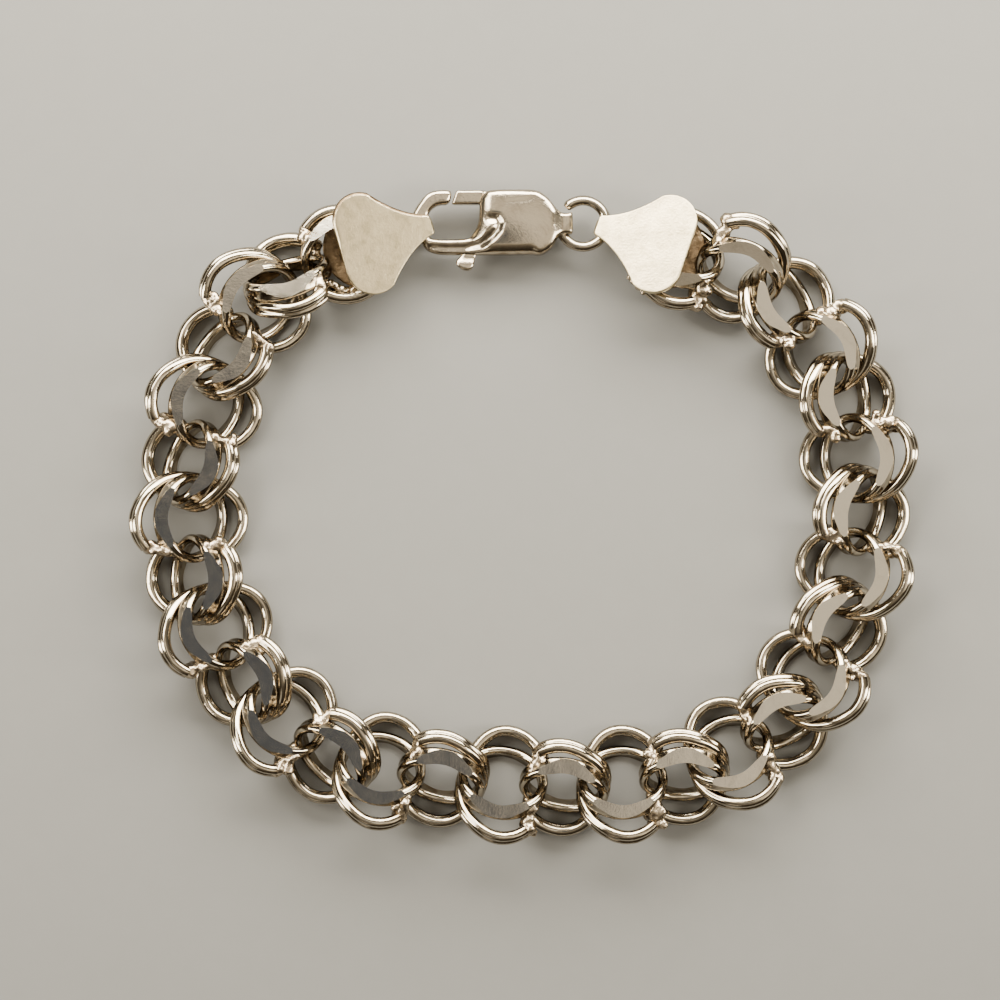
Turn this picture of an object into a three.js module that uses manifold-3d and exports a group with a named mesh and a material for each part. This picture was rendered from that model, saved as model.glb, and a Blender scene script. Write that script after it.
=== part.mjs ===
// A sterling silver double-link bracelet, fastened and lying flat on a table.
//
// Thirty double rings lean alternately outwards and inwards, each linked through the next. They are
// soldered two by two into rigid pairs, and each ring carries a wider, flatter double loop round it.
// The two end pairs carry a bell-shaped plate whose neck is folded round the clasp's hook at one end
// and round a jump ring at the other.
//
// Units are millimetres. +Z is up, the table is Z = 0, and the clasp lies on the +Y side.

import * as THREE from 'three';
import { mergeVertices } from 'three/addons/utils/BufferGeometryUtils.js';
import Module from 'manifold-3d';

const wasm = await Module();
wasm.setup();

const degrees = THREE.MathUtils.degToRad;

// ---------------------------------------------------------------- driving dimensions

const WIRE = 0.9;                  // diameter of every link wire
const RING_RADIUS = 3.85;          // centre line of a double ring along the chain
const RING_PITCH = 5.85;           // between the two ring centres of a soldered pair
const RING_STEPS = 12;             // facets round a ring
const RING_RISE = 2.7;             // height of its raised side over the middle of the chain
const GROUND_HEIGHT = 2.65;        // half the thickness left after the links are ground flat

const LOOP_REACH = 3.9;            // centre line of an outer loop along the chain, at its free end
const LOOP_WAIST_REACH = 4.2;      // the same at the soldered end
const LOOP_SHIFT = 0.4;            // how far its raised side is moved towards the soldered end
const LOOP_RISE = 1.75;            // height of its raised side over the middle of the chain
const LOOP_TILT = degrees(30);     // lean of its two wires
const LOOP_NEST_OUT = 0.9;         // how far its free end is laid beside the ring's wires, outwards
const LOOP_NEST_DOWN = 0.35;       // and downwards
const LOOP_RAISED_END = degrees(122);   // where its raised side ends in solder
const LOOP_LOWERED_END = degrees(133);  // where its lowered side ends in solder
const LOOP_STEPS = 8;              // facets along a loop

const WEB_THICKNESS = 0.8;         // solder web along the chain
const PAIR_SPAN = 40;              // wider than any soldered pair

const PLATE_LENGTH = 9.1;          // bell-shaped end plate, from the neck's end
const PLATE_CORNER = 2.6;          // radius of its two round shoulders
const PLATE_SHOULDER = 2.3;        // from its middle line to a shoulder's centre
const PLATE_SHOULDER_START = degrees(57);  // where the shoulder's arc leaves the flare
const PLATE_FLARE = [-2.65, 1.58];  // pulls in the flare between the neck and the shoulder
const PLATE_THICKNESS = 0.6;
const PLATE_PITCH = degrees(12);   // it climbs from the neck to the ring
const PLATE_ROLL = degrees(9);     // it leans with the raised side of the end ring
const NECK_HALF_WIDTH = 0.93;
const FOLD_HALF_WIDTH = 0.6;       // the folded part is narrower than the plate's neck
const NECK_HEIGHT = 3.75;          // underside of the plate over the table, at the neck's end

const CLASP_PLACE = [-3.04, 27.98];  // the lever's pivot
const CLASP_HEIGHT = 2.5;          // middle of the clasp and the jump ring over the table
const HOOK_THICKNESS = 1.7;
const CLASP_THICKNESS = 2.7;
const DOME = [3.6, 2.9, 1.7];      // half axes of the swelling on both faces of the clasp
const DOME_MIDDLE = 2.7;           // from the pivot towards the eye
const DOME_FACETS = [10, 6];       // round it and from face to face
const EYE_THICKNESS = 2.2;
const LEVER_THICKNESS = 0.8;
const GATE_THICKNESS = 1.5;
const SLOT_THICKNESS = 1.3;
const PIVOT_RADIUS = 0.35;
const PIVOT_HOLE_RADIUS = 0.6;
const PIVOT_INSET = 0.1;           // how far each end of the pivot lies under the face
const PIVOT_FACETS = 8;

const JUMP_PLACE = [5.8, 27.84];
const JUMP_RADIUS = 2.2;           // centre line of the jump ring
const JUMP_WIRE = 0.8;
const JUMP_ENDS = [degrees(160), degrees(497)];  // its open cut lies beside the clasp's eye
const JUMP_STEPS = 14;
const JUMP_FACETS = 6;             // round its wire
const JUMP_CLEARANCE = 0.12;       // round the jump ring in the clasp's eye
const PASSAGE_ENDS = [degrees(120), degrees(240)];  // the part of its circle inside the eye
const PASSAGE_STEPS = 6;

// The two links of a pair, across the chain with the raised side positive: the middle of the ring
// and how far its raised side stands out from there, the middle of the loop and half its width.
const OUTER_LINK = { ring: 0, ringReach: 2.58, loop: 0.25, halfWidth: 4.95 };
const INNER_LINK = { ring: 0.4, ringReach: 1.93, loop: 0.25, halfWidth: 4.15 };

// Where each soldered pair lies, by its middle, and the heading of the chain there.
const LINK_PAIRS = [
  { name: 'link_pair_01', x: -26.81, y: 18.13, heading: -130 },
  { name: 'link_pair_02', x: -30.87, y: 7.93, heading: -110.2 },
  { name: 'link_pair_03', x: -31.39, y: -3.04, heading: -91.1 },
  { name: 'link_pair_04', x: -27.79, y: -13.17, heading: -67.3 },
  { name: 'link_pair_05', x: -20.40, y: -21.08, heading: -44.3 },
  { name: 'link_pair_06', x: -10.57, y: -24.51, heading: -14 },
  { name: 'link_pair_07', x: 1.04, y: -25.61, heading: -9.4 },
  { name: 'link_pair_08', x: 12.46, y: -25.09, heading: 0.6 },
  { name: 'link_pair_09', x: 22.36, y: -21.03, heading: 25.7 },
  { name: 'link_pair_10', x: 28.87, y: -12.94, heading: 56.5 },
  { name: 'link_pair_11', x: 31.89, y: -2.45, heading: 76.2 },
  { name: 'link_pair_12', x: 31.44, y: 8.48, heading: 94.7 },
  { name: 'link_pair_13', x: 26.77, y: 18.07, heading: 119.9 },
];

// The end pairs are also turned about the run of the chain, so that the end ring lies flatter,
// and carry a plate: the place of its neck's end and the heading from the ring to the neck.
const END_PAIRS = [
  {
    name: 'end_pair_hook_side', x: -19.53, y: 23.87, heading: -164, turn: 15,
    links: [{ ...OUTER_LINK, halfWidth: 3.9 }, INNER_LINK],
    neck: [-8.68, 27.72], neckHeading: 18,
  },
  {
    name: 'end_pair_ring_side', x: 17.88, y: 24.28, heading: 157, turn: -12,
    links: [OUTER_LINK, { ...INNER_LINK, loop: 0.9 }],
    neck: [7.15, 27.5], neckHeading: 162.5,
  },
];

// ---------------------------------------------------------------- solids

function solidFrom(geometry) {
  const bare = geometry.index ? geometry.toNonIndexed() : geometry.clone();
  bare.deleteAttribute('normal');
  bare.deleteAttribute('uv');
  const merged = mergeVertices(bare, 1e-4);
  return new wasm.Manifold(new wasm.Mesh({
    numProp: 3,
    vertProperties: new Float32Array(merged.attributes.position.array),
    triVerts: new Uint32Array(merged.index.array),
  }));
}

function geometryFrom(solid) {
  const mesh = solid.getMesh();
  const geometry = new THREE.BufferGeometry();
  geometry.setAttribute('position', new THREE.BufferAttribute(new Float32Array(mesh.vertProperties), 3));
  geometry.setIndex(new THREE.BufferAttribute(new Uint32Array(mesh.triVerts), 1));
  geometry.computeVertexNormals();
  return geometry;
}

function outline(points) {
  return new THREE.Shape(points.map(([x, y]) => new THREE.Vector2(x, y)));
}

// A plate of the given outline, centred on Z = 0.
function plate(shape, thickness) {
  return new THREE.ExtrudeGeometry(shape, { depth: thickness, bevelEnabled: false })
    .translate(0, 0, -thickness / 2);
}

// Two wires side by side make a flat band of the same metal: [along the pair, across it].
const BAND = [WIRE * 0.88, WIRE * 0.42];
const PAIR_SECTION = [
  [-BAND[0], -BAND[1]], [-BAND[0], BAND[1]], [BAND[0], BAND[1]], [BAND[0], -BAND[1]],
];

// Sweeps the section of a pair of wires along open stations of { at, across },
// where `across` points from one wire to the other.
function sweepPair(stations) {
  const sides = PAIR_SECTION.length;
  const vertices = [];
  stations.forEach(({ at, across }, i) => {
    const before = stations[Math.max(i - 1, 0)].at;
    const after = stations[Math.min(i + 1, stations.length - 1)].at;
    const along = after.clone().sub(before).normalize();
    const outward = along.clone().cross(across).normalize();
    for (const [u, v] of PAIR_SECTION) {
      const corner = at.clone().addScaledVector(across, u).addScaledVector(outward, v);
      vertices.push(corner.x, corner.y, corner.z);
    }
  });
  const faces = [];
  for (let i = 0; i + 1 < stations.length; i += 1) {
    for (let k = 0; k < sides; k += 1) {
      const a = i * sides + k;
      const b = i * sides + ((k + 1) % sides);
      faces.push(a, b + sides, b, a, a + sides, b + sides);
    }
  }
  const last = (stations.length - 1) * sides;
  for (let k = 1; k + 1 < sides; k += 1) {
    faces.push(0, k, k + 1, last, last + k + 1, last + k);
  }
  const geometry = new THREE.BufferGeometry();
  geometry.setAttribute('position', new THREE.Float32BufferAttribute(vertices, 3));
  geometry.setIndex(faces);
  return geometry;
}

// ---------------------------------------------------------------- a soldered pair of links
//
// In a pair's own frame +X runs along the chain, -Y is the outside of the bracelet and the link
// at -X leans with its outer side up. The link at +X is made in the same way and turned half round.

function ringTilt(link) {
  return Math.atan2(RING_RISE, link.ringReach);
}

// The ring is pressed slightly oval as it leans.
function doubleRing(link) {
  const profile = PAIR_SECTION.map(([u, v]) => new THREE.Vector2(RING_RADIUS + v, u));
  profile.push(profile[0].clone());
  return new THREE.LatheGeometry(profile, RING_STEPS)
    .scale(1, 1, Math.hypot(RING_RISE, link.ringReach) / RING_RADIUS)
    .rotateX(Math.PI / 2 - ringTilt(link))
    .translate(-RING_PITCH / 2, -link.ring, 0);
}

function outerLoop(link) {
  const stations = [];
  for (let i = 0; i <= LOOP_STEPS; i += 1) {
    const angle = THREE.MathUtils.lerp(-LOOP_LOWERED_END, LOOP_RAISED_END, i / LOOP_STEPS);
    const nest = Math.max(Math.cos(angle), 0) ** 4;
    const reach = Math.cos(angle) > 0 ? LOOP_REACH : LOOP_WAIST_REACH;
    const lean = THREE.MathUtils.lerp(LOOP_TILT, ringTilt(link), nest);
    stations.push({
      at: new THREE.Vector3(
        LOOP_SHIFT * Math.max(Math.sin(angle), 0) - RING_PITCH / 2 - reach * Math.cos(angle),
        -link.loop - link.halfWidth * Math.sin(angle) - LOOP_NEST_OUT * nest,
        LOOP_RISE * Math.sin(angle) - LOOP_NEST_DOWN * nest,
      ),
      across: new THREE.Vector3(0, Math.sin(lean), Math.cos(lean)),
    });
  }
  return sweepPair(stations);
}

// The solder that joins both outer loops to both rings, on the outer side of the chain.
function solderWeb() {
  const web = outline([[-4.5, 1.8], [-3.8, -1.7], [-1.9, -2.2], [-1.9, 2.2]]);
  return plate(web, WEB_THICKNESS).rotateX(Math.PI / 2).rotateZ(Math.PI / 2);
}

function linkPair(links) {
  const slab = solidFrom(new THREE.BoxGeometry(PAIR_SPAN, PAIR_SPAN, 2 * GROUND_HEIGHT));
  const [outer, inner] = links.map((link) => solidFrom(doubleRing(link))
    .intersect(slab)
    .add(solidFrom(outerLoop(link)))
    .add(solidFrom(solderWeb())));
  return outer.add(inner.rotate([0, 0, 180]));
}

// ---------------------------------------------------------------- an end plate and its folded neck
//
// In its own frame the neck's end is above the origin and the plate runs towards -X.

// The plate's outline is a neck, a flare, two round shoulders and a straight edge between them.
function endPlate() {
  const shoulder = new THREE.EllipseCurve(
    PLATE_CORNER - PLATE_LENGTH, PLATE_SHOULDER, PLATE_CORNER, PLATE_CORNER, PLATE_SHOULDER_START, Math.PI,
  ).getPoints(5);
  const flare = new THREE.QuadraticBezierCurve(
    new THREE.Vector2(0, NECK_HALF_WIDTH), new THREE.Vector2(...PLATE_FLARE), shoulder[0],
  ).getPoints(3);
  const half = [...flare, ...shoulder.slice(1)];
  const mirrored = half.map((point) => new THREE.Vector2(point.x, -point.y)).reverse();
  return plate(new THREE.Shape([...half, ...mirrored]), PLATE_THICKNESS)
    .translate(0, 0, PLATE_THICKNESS / 2)
    .rotateX(PLATE_ROLL)
    .rotateY(PLATE_PITCH)
    .translate(0, 0, NECK_HEIGHT);
}

// The neck folded down and back under the plate, as far as the end ring it is soldered to.
function foldedNeck() {
  const side = outline([
    [-2.5, 4.55], [-0.45, 4.2], [0, 3.95], [0.2, 3.4], [0.2, 1.5], [0, 1.0], [-0.5, 0.8],
    [-2.3, 0.8], [-4.9, 2.4], [-4.9, 3.2], [-2.1, 1.35], [-0.6, 1.35], [-0.25, 1.6], [-0.25, 3.4],
    [-0.6, 3.7], [-2.5, 4.1],
  ]);
  return plate(side, 2 * FOLD_HALF_WIDTH).rotateX(Math.PI / 2);
}

function onTable(solid, turn, heading, x, y) {
  const turned = solid.rotate([turn, 0, 0]).rotate([0, 0, heading]);
  return turned.translate([x, y, -turned.boundingBox().min[2]]);
}

function endPair({ x, y, heading, turn, links, neck, neckHeading }) {
  const fitting = solidFrom(endPlate()).add(solidFrom(foldedNeck()));
  return onTable(linkPair(links), turn, heading, x, y)
    .add(fitting.rotate([0, 0, neckHeading]).translate([...neck, 0]));
}

// ---------------------------------------------------------------- the clasp
//
// In its own frame the lever's pivot is the origin and +X runs to the eye.

const HOOK_OUTLINE = [
  [1.5, -3.15], [1.5, 0], [-0.5, 0], [-1.3, -0.67], [-1.7, -1.3], [-2.1, -1.63], [-5.2, -1.7],
  [-5.9, -1.4], [-6.2, -0.7], [-6.2, 0.35], [-5.82, 1.27], [-4.9, 1.65], [-3.95, 1.65],
  [-3.75, 3.0], [-4.9, 3.0], [-5.6, 2.85], [-6.27, 2.4], [-6.9, 1.55], [-7.33, 0.81],
  [-7.4, 0], [-7.25, -0.6], [-6.49, -2.05], [-6.06, -2.69], [-5.4, -3.0], [-4.6, -3.15],
];
const BODY_OUTLINE = [
  [1.5, -3.15], [4.5, -3.1], [5.2, -2.9], [6.3, -1.9], [6.6, -1.2], [6.6, 1.05],
  [5.6, 2.19], [4.75, 2.82], [4.0, 3.0], [0, 3.0], [-0.67, 2.6], [-1.0, 2.1], [-1.05, -0.2],
  [-1.7, -1.3], [-2.1, -1.63], [-3.6, -1.65], [-4.2, -2.4], [-3.6, -3.15],
];
const EYE_OUTLINE = [[6.2, -1.2], [7.8, -1.15], [7.9, -0.95], [7.9, 0.65], [7.8, 0.85], [6.2, 0.9]];
const LEVER_OUTLINE = [
  [-3.55, 1.65], [-1.0, 1.65], [-0.95, 0.6], [-1.1, -0.6], [-1.2, -1.6], [-2.2, -2.4],
  [-2.7, -3.2], [-3.25, -3.7], [-3.2, -4.1], [-2.6, -4.6], [-1.9, -4.65], [-1.55, -4.2],
  [-1.4, -3.2], [-0.6, -2.2], [0.6, -1.3], [1.3, -0.5], [1.35, 0.6], [0.9, 2.1], [-0.2, 2.95],
  [-3.0, 2.95],
];
const GATE_OUTLINE = [[-3.55, 1.65], [-1.25, 1.65], [-1.35, 2.95], [-3.0, 2.95]];
// Where the lever swings between the two cheeks of the body.
const SLOT_OUTLINE = [
  [-2, 3.6], [-2, -1.0], [-1.65, -1.5], [-2.5, -2.2], [-2.95, -3.1], [-3.2, -3.6], [0.8, -3.6],
  [1.0, -2.3], [1.5, -1.2], [1.75, -0.6], [1.75, 0.7], [1.3, 2.2], [0.35, 3.0], [0.3, 3.6],
];

function flat(points, thickness) {
  return solidFrom(plate(outline(points), thickness));
}

function pin(radius, height) {
  return solidFrom(new THREE.CylinderGeometry(radius, radius, height, PIVOT_FACETS).rotateX(Math.PI / 2));
}

function jumpRing(wire, [from, to], steps) {
  const middle = new THREE.CatmullRomCurve3(
    new THREE.EllipseCurve(0, 0, JUMP_RADIUS, JUMP_RADIUS, from, to).getPoints(steps)
      .map((point) => new THREE.Vector3(point.x, point.y, 0)),
  );
  const round = new THREE.EllipseCurve(0, 0, wire / 2, wire / 2).getPoints(JUMP_FACETS);
  const section = new THREE.Shape(round.slice(1));
  return new THREE.ExtrudeGeometry(section, { extrudePath: middle, steps });
}

function claspBody() {
  const dome = new THREE.SphereGeometry(1, ...DOME_FACETS).rotateX(Math.PI / 2).scale(...DOME)
    .translate(DOME_MIDDLE, 0, 0);
  const passage = jumpRing(JUMP_WIRE + 2 * JUMP_CLEARANCE, PASSAGE_ENDS, PASSAGE_STEPS)
    .translate(JUMP_PLACE[0] - CLASP_PLACE[0], JUMP_PLACE[1] - CLASP_PLACE[1], 0);
  return flat(BODY_OUTLINE, CLASP_THICKNESS)
    .add(flat(HOOK_OUTLINE, HOOK_THICKNESS))
    .add(flat(EYE_OUTLINE, EYE_THICKNESS))
    .add(solidFrom(dome))
    .subtract(flat(SLOT_OUTLINE, SLOT_THICKNESS))
    .subtract(solidFrom(passage))
    .add(pin(PIVOT_RADIUS, CLASP_THICKNESS - 2 * PIVOT_INSET));
}

function claspLever() {
  return flat(LEVER_OUTLINE, LEVER_THICKNESS)
    .add(flat(GATE_OUTLINE, GATE_THICKNESS))
    .subtract(pin(PIVOT_HOLE_RADIUS, CLASP_THICKNESS));
}

// ---------------------------------------------------------------- the bracelet

const group = new THREE.Group();
const silver = new THREE.MeshStandardMaterial({ color: 0xc9c2b2, roughness: 0.22, metalness: 1 });

function piece(name, geometry, place = [0, 0, 0]) {
  const mesh = new THREE.Mesh(geometry, silver);
  mesh.name = name;
  mesh.position.set(...place);
  group.add(mesh);
  return mesh;
}

const pairGeometry = geometryFrom(onTable(linkPair([OUTER_LINK, INNER_LINK]), 0, 0, 0, 0));
for (const { name, x, y, heading } of LINK_PAIRS) {
  piece(name, pairGeometry, [x, y, 0]).rotation.z = degrees(heading);
}
for (const end of END_PAIRS) {
  piece(end.name, geometryFrom(endPair(end)));
}
piece('clasp_body', geometryFrom(claspBody()), [...CLASP_PLACE, CLASP_HEIGHT]);
piece('clasp_lever', geometryFrom(claspLever()), [...CLASP_PLACE, CLASP_HEIGHT]);
piece('jump_ring', jumpRing(JUMP_WIRE, JUMP_ENDS, JUMP_STEPS), [...JUMP_PLACE, CLASP_HEIGHT]);

// The origin is the middle of the bracelet's box, on the table.
const middle = new THREE.Box3().setFromObject(group, true).getCenter(new THREE.Vector3());
for (const mesh of group.children) {
  mesh.position.x -= middle.x;
  mesh.position.y -= middle.y;
}

export default group;
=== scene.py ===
"""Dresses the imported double-link bracelet in polished, lightly tarnished sterling silver.

Each sub-assembly is built in millimetres in a frame of its own and then placed in the frame of the
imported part, which is in metres. The chain runs round the origin with the clasp on the +Y side, and
the table is at Z = 0.
"""

import logging
import math
import random
from collections.abc import Callable, Iterable, Sequence
from dataclasses import dataclass, field, replace
from enum import Enum
from functools import cache
from typing import Any

import bmesh
import bpy
import numpy as np
from mathutils import Matrix, Vector, geometry, noise


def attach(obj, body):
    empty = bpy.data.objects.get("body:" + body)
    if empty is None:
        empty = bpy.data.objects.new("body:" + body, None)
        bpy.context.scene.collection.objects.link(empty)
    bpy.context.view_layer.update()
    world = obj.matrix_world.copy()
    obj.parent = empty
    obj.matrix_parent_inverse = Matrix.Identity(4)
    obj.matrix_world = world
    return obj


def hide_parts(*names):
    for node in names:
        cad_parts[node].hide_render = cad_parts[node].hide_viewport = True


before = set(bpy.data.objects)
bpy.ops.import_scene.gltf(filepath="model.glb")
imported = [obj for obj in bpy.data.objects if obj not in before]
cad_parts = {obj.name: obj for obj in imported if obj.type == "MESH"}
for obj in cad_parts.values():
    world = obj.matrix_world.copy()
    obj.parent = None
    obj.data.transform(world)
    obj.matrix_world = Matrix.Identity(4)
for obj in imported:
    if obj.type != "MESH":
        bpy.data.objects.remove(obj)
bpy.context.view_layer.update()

Colour = tuple[float, float, float]
Point = tuple[float, float, float]
Place = tuple[float, float]
Faces = Callable[[float, float, float], Place]  # lower and upper height from x, y and edge distance

LOG = logging.getLogger("bracelet")
MILLIMETRE = 0.001
LAYOUT_MIDDLE = (0.1425, -0.0319)  # middle of the bracelet's box, in the frame of the places below
SHARP_ANGLE = math.radians(38)
SEAM_BAND = 0.16  # where tarnish and painted shade stay beside a seam, as a share of half the double wire's width
SHALLOWEST_SEAM = 0.95  # a seam that is filled further than this holds no tarnish and no painted shade
FLANK_SHADE_TILT = (0.93, 0.42)  # upward part of the normal where the flanks' painted shade and grime begin, and are full


# ---------------------------------------------------------------- shader expressions


@dataclass(frozen=True)
class Speckle:
    """Random patches with soft edges."""

    size: float  # width of a patch, in millimetres
    detail: float  # octaves of finer noise
    low: float  # value of the noise where a patch begins
    high: float  # and where it is full
    warp: float = 0.0


class Signal:
    """A number that varies over a surface: an output socket whose arithmetic adds Math nodes."""

    def __init__(self, graph: "Graph", socket: bpy.types.NodeSocket | None) -> None:
        """Wraps an output of the graph, or None for a node that ends it."""
        self.graph = graph
        self.socket = socket

    def _math(self, operation: str, other: "Signal | float") -> "Signal":
        """Adds a Math node of this value and another."""
        return self.graph.node("ShaderNodeMath", {"operation": operation}, {0: self, 1: other})

    def __add__(self, other: "Signal | float") -> "Signal":
        """Sum of two values."""
        return self._math("ADD", other)

    def __mul__(self, other: "Signal | float") -> "Signal":
        """Product of two values."""
        return self._math("MULTIPLY", other)

    __radd__ = __add__
    __rmul__ = __mul__

    def lesser(self, other: "Signal | float") -> "Signal":
        """The smaller of two values."""
        return self._math("MINIMUM", other)

    def step(self, low: float, high: float) -> "Signal":
        """Rises smoothly from 0 to 1.

        Args:
            low: Where the rise begins.
            high: Where it ends.

        Returns:
            The risen value.
        """
        return self.graph.node(
            "ShaderNodeMapRange",
            {"interpolation_type": "SMOOTHSTEP"},
            {"Value": self, "From Min": low, "From Max": high},
        )


class Graph:
    """The nodes of one material or world."""

    MIX_COLOUR = (0, 6, 7, 2)  # a Mix node's factor, first and second colour, and colour result
    NOISE_ROUGHNESS = 0.6

    def __init__(self, tree: bpy.types.NodeTree) -> None:
        """Starts from an empty tree."""
        self.tree = tree
        tree.nodes.clear()

    def node(
        self,
        kind: str,
        settings: dict[str, Any] | None = None,
        inputs: dict[str | int, Any] | None = None,
        output: str | int = 0,
    ) -> Signal:
        """Adds a node.

        Args:
            kind: The node's type.
            settings: Its properties; "stops" are a colour ramp's positions and colours.
            inputs: A value or a Signal for each socket that is set.
            output: The socket that is returned.

        Returns:
            The chosen output.
        """
        made = self.tree.nodes.new(kind)
        for name, value in (settings or {}).items():
            if name == "stops":
                self._set_stops(made.color_ramp, value)
            else:
                setattr(made, name, value)
        for key, value in (inputs or {}).items():
            if isinstance(value, Signal):
                self.tree.links.new(value.socket, made.inputs[key])
            else:
                made.inputs[key].default_value = value
        return Signal(self, made.outputs[output] if made.outputs else None)

    @staticmethod
    def _set_stops(ramp: bpy.types.ColorRamp, stops: Sequence[tuple[float, Colour]]) -> None:
        """Gives a colour ramp its stops.

        Args:
            ramp: The ramp.
            stops: Position and colour of each stop, in rising order.
        """
        while len(ramp.elements) < len(stops):
            ramp.elements.new(1.0)
        for element, (position, colour) in zip(ramp.elements, stops):
            element.position = position
            element.color = (*colour, 1.0)

    def blend(self, factor: Signal, first: Signal | Colour, second: Signal | Colour) -> Signal:
        """Mixes two colours.

        Args:
            factor: Share of the second colour.
            first: Colour at a factor of 0.
            second: Colour at a factor of 1.

        Returns:
            The mixed colour.
        """
        share, low, high, result = self.MIX_COLOUR
        start, end = (c if isinstance(c, Signal) else (*c, 1.0) for c in (first, second))
        inputs = {share: factor, low: start, high: end}
        return self.node("ShaderNodeMix", {"data_type": "RGBA"}, inputs, result)

    def vector(self, operation: str, *operands: Any, output: str | int = 0) -> Signal:
        """Adds a Vector Math node."""
        inputs = dict(enumerate(operands))
        return self.node("ShaderNodeVectorMath", {"operation": operation}, inputs, output)

    def grain(
        self, size: float, detail: float = 3.0, stretch: Point = (1.0, 1.0, 1.0), warp: float = 0.0
    ) -> Signal:
        """Noise with grains of a given size, fixed to the metal.

        Args:
            size: Width of a grain, in millimetres.
            detail: Octaves of finer noise.
            stretch: How much longer a grain is along each axis.
            warp: Distortion of the grains.

        Returns:
            A value round 0.5.
        """
        place = self.node("ShaderNodeTexCoord", output="Object")
        per_metre = tuple(1.0 / (size * MILLIMETRE * s) for s in stretch)
        scaled = self.vector("MULTIPLY", place, per_metre)
        inputs = {"Vector": scaled, "Scale": 1.0, "Detail": detail, "Distortion": warp}
        inputs["Roughness"] = self.NOISE_ROUGHNESS
        return self.node("ShaderNodeTexNoise", None, inputs)

    def speckle(self, kind: Speckle) -> Signal:
        """Random patches, 1 inside them and 0 between."""
        return self.grain(kind.size, kind.detail, warp=kind.warp).step(kind.low, kind.high)

    def mark(self, name: str) -> Signal:
        """Reads a value that the mesh keeps at its vertices."""
        return self.node("ShaderNodeAttribute", {"attribute_name": name}, output="Fac")

    def principled(self, inputs: dict[str, Any]) -> None:
        """Ends a material with a Principled shader."""
        surface = self.node("ShaderNodeBsdfPrincipled", None, inputs)
        self.node("ShaderNodeOutputMaterial", None, {"Surface": surface})


# ---------------------------------------------------------------- finishes


@dataclass(frozen=True)
class SilverFinish:
    """How one kind of silver surface looks. Depths and sizes are in millimetres."""

    name: str
    colour: Colour = (0.735, 0.67, 0.55)
    tarnish: Colour = (0.17, 0.128, 0.08)
    # Colour of charred torch marks, and of the painted shade on an end plate's far side wall.
    burn_and_shade: Colour = (0.10, 0.062, 0.035)
    roughness: float = 0.07
    roughness_spread: float = 0.1
    cloud: float = 0.25  # share of tarnish in the thin cloudy film
    grime_and_shade: float = 1.0  # share of tarnish and painted shade in seams and on the flanks
    mottle: float = 0.0  # share of tarnish in fine mottles
    pit_size: float = 0.25
    pit_depth: float = 0.01
    scratch: float = 0.0  # depth of long scratches
    wave: float = 0.0  # depth of wide waves

    FILM = Speckle(1.6, 4.0, 0.45, 0.75, warp=0.6)
    STAINS = Speckle(0.45, 4.0, 0.42, 0.62)
    MOTTLES = Speckle(0.9, 6.0, 0.44, 0.66, warp=0.3)
    CHAR = Speckle(0.6, 3.0, 0.46, 0.6)
    BURNT_AND_SHADE_SHARE = (0.25, 1.1)  # how much of the heat value, torch marks and painted wall shade, shows everywhere, and more in stains
    GRIME_AND_SHADE_SHARE = (0.75, 0.25)  # how much of the grime and painted shade shows everywhere, and more in the film
    SMEAR_SIZE = 0.7  # width of the rougher smears
    BURNT_ROUGHNESS = 0.35
    ROUGHEST = 0.8
    BLISTER_SIZE = 0.16
    BLISTER_DEPTH = 0.05
    WAVE_SIZE = 2.4
    SCRATCHES = ((0.05, (14.0, 1.0, 14.0)), (0.06, (1.0, 22.0, 22.0)))  # width, times its length

    @cache
    def material(self) -> bpy.types.Material:
        """Builds the finish.

        Returns:
            The material, made once.
        """
        made = bpy.data.materials.new(self.name)
        made.use_nodes = True
        graph = Graph(made.node_tree)
        # Torch marks; on an end plate's far side wall this value paints shade.
        heat = graph.mark("heat")
        film = graph.speckle(self.FILM)
        everywhere, in_stains = self.BURNT_AND_SHADE_SHARE
        burnt_and_shaded = (heat * (everywhere + in_stains * graph.speckle(self.STAINS))).lesser(1.0)
        share = film * self.cloud + burnt_and_shaded
        # Painted shade in seams and on flanks that face sideways and down, mixed with tarnish.
        if self.grime_and_shade:
            everywhere, in_film = self.GRIME_AND_SHADE_SHARE
            share = share + graph.mark("seam") * (self.grime_and_shade * (everywhere + in_film * film))
        if self.mottle:
            share = share + graph.speckle(self.MOTTLES) * self.mottle
        colour = graph.blend(share.lesser(1.0), self.colour, self.tarnish)
        charred_and_shaded = (burnt_and_shaded * graph.speckle(self.CHAR)).lesser(1.0)
        smears = self.roughness_spread * graph.grain(self.SMEAR_SIZE)
        height = graph.grain(self.pit_size) * self.pit_depth
        height = height + graph.grain(self.BLISTER_SIZE, 2.0) * (self.BLISTER_DEPTH * heat)
        if self.wave:
            height = height + graph.grain(self.WAVE_SIZE, 1.0) * self.wave
        if self.scratch:
            for width, stretch in self.SCRATCHES:
                height = height + graph.grain(width, 2.0, stretch) * self.scratch
        relief = {"Strength": 1.0, "Distance": MILLIMETRE, "Height": height}
        rough = self.roughness + smears + self.BURNT_ROUGHNESS * burnt_and_shaded
        graph.principled({
            "Base Color": graph.blend(charred_and_shaded, colour, self.burn_and_shade),
            "Metallic": 1.0,
            "Roughness": rough.lesser(self.ROUGHEST),
            "Normal": graph.node("ShaderNodeBump", None, relief),
        })
        return made


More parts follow.
